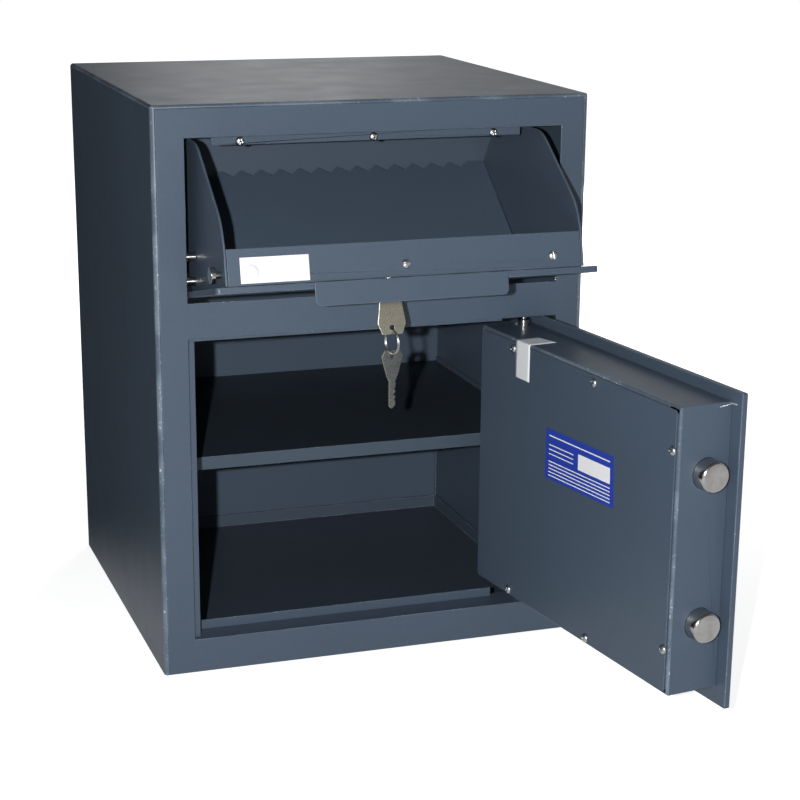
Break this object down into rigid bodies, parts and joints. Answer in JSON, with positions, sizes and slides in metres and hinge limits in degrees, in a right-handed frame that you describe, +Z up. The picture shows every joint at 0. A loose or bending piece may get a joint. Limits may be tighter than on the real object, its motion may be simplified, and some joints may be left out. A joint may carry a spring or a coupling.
{
  "type": "drop safe with deposit tray",
  "caption": "Small steel drop safe: a tilting deposit tray above, a hinged plate door with round bolts and a shelved compartment below.",
  "frame": {"origin": "centre of the base plate's underside, below the middle of the closed body", "axes": "+Z up; -Y out of the front face with the tray and the door; +X to the right of a person facing the safe"},
  "size_m": [0.4264, 0.6632, 0.5],
  "materials": {
    "body_paint": "semi-gloss powder coat, dark slate grey",
    "inside_paint": "semi-gloss powder coat, dark slate grey, inner pieces",
    "bright_steel": "turned and polished steel",
    "zinc_steel": "zinc plated screws and small parts",
    "dark_steel": "plain mill steel inside the door",
    "nickel": "nickel plated lock and key"
  },
  "bodies": {
    "cabinet": {"shell_wrap": "body_paint", "front_frame": "body_paint", "back_panel": "body_paint", "base_plate": "inside_paint", "floor_pan": "inside_paint", "sill_lip": "body_paint", "door_stop_side": "body_paint", "door_stop_top": "body_paint", "hinge_pin_upper": "bright_steel", "hinge_pin_lower": "bright_steel", "shelf": "inside_paint", "shelf_rail_left": "inside_paint", "shelf_rail_right": "inside_paint", "baffle": "inside_paint", "guard_strip": "body_paint", "tray_bracket_left": "inside_paint", "tray_bracket_right": "inside_paint", "pivot_pin_left": "bright_steel", "pivot_pin_right": "bright_steel", "strip_screw_1": "zinc_steel", "strip_screw_2": "zinc_steel", "strip_screw_3": "zinc_steel"},
    "tray": {"tray_panel": "body_paint", "tray_handle_flap": "body_paint", "tray_cheek_left": "body_paint", "tray_cheek_right": "body_paint", "tray_slide": "body_paint", "tray_lip": "body_paint", "tray_lock_cover": "inside_paint", "tray_travel_pin_left": "bright_steel", "tray_travel_pin_right": "bright_steel", "tray_lock_barrel": "nickel", "lip_screw_1": "zinc_steel", "lip_screw_2": "zinc_steel", "lip_screw_3": "zinc_steel"},
    "tray_lock": {"tray_lock_plug": "nickel", "tray_lock_cam": "zinc_steel", "tray_key": "nickel"},
    "tray_bolt": {"side_bolt": "bright_steel"},
    "door": {"door_plate": "body_paint", "door_box": "body_paint", "door_cover": "body_paint", "door_bolt_guide": "dark_steel", "door_lock_case": "dark_steel", "keyhole_plate": "nickel", "cover_screw_1": "zinc_steel", "cover_screw_2": "zinc_steel", "cover_screw_3": "zinc_steel", "cover_screw_4": "zinc_steel", "cover_screw_5": "zinc_steel", "cover_screw_6": "zinc_steel"},
    "door_bolts": {"door_bolt_upper": "bright_steel", "door_bolt_lower": "bright_steel", "door_bolt_bar": "dark_steel"},
    "door_handle": {"door_handle": "bright_steel", "door_crank": "dark_steel"},
    "keyhole_cover": {"keyhole_cover": "nickel"}
  },
  "joints": [
    {"name": "tray_tilt", "type": "hinge", "parent": "cabinet", "child": "tray", "pos_m": [0, -0.17, 0.35], "axis": [1, 0, 0], "range_deg": [-77, 0]},
    {"name": "tray_key_turn", "type": "hinge", "parent": "tray", "child": "tray_lock", "pos_m": [-0.0104, -0.24698, 0.36777], "axis": [0, -0.225, -0.9744], "range_deg": [0, 90]},
    {"name": "tray_bolt_slide", "type": "slide", "parent": "tray", "child": "tray_bolt", "axis": [-1, 0, 0], "range_m": [0, 0.008]},
    {"name": "door_swing", "type": "hinge", "parent": "cabinet", "child": "door", "pos_m": [0.1475, -0.165, 0.17], "axis": [0, 0, 1], "range_deg": [-97.7, 0]},
    {"name": "door_handle_turn", "type": "hinge", "parent": "door", "child": "door_handle", "pos_m": [0.19657, -0.37865, 0.17159], "axis": [-0.991, -0.134, 0], "range_deg": [0, 60]},
    {"name": "door_bolts_slide", "type": "slide", "parent": "door", "child": "door_bolts", "axis": [0.134, -0.991, 0], "range_m": [-0.01301, 0]},
    {"name": "keyhole_cover_swing", "type": "hinge", "parent": "door", "child": "keyhole_cover", "pos_m": [0.18773, -0.31325, 0.18409], "axis": [-0.991, -0.134, 0], "range_deg": [-120, 120]}
  ],
  "couplings": [
    {"joint": "tray_key_turn", "follows": "tray_bolt_slide", "rad_per_m": 196.3},
    {"joint": "door_bolts_slide", "follows": "door_handle_turn", "m_per_rad": -0.012414}
  ]
}
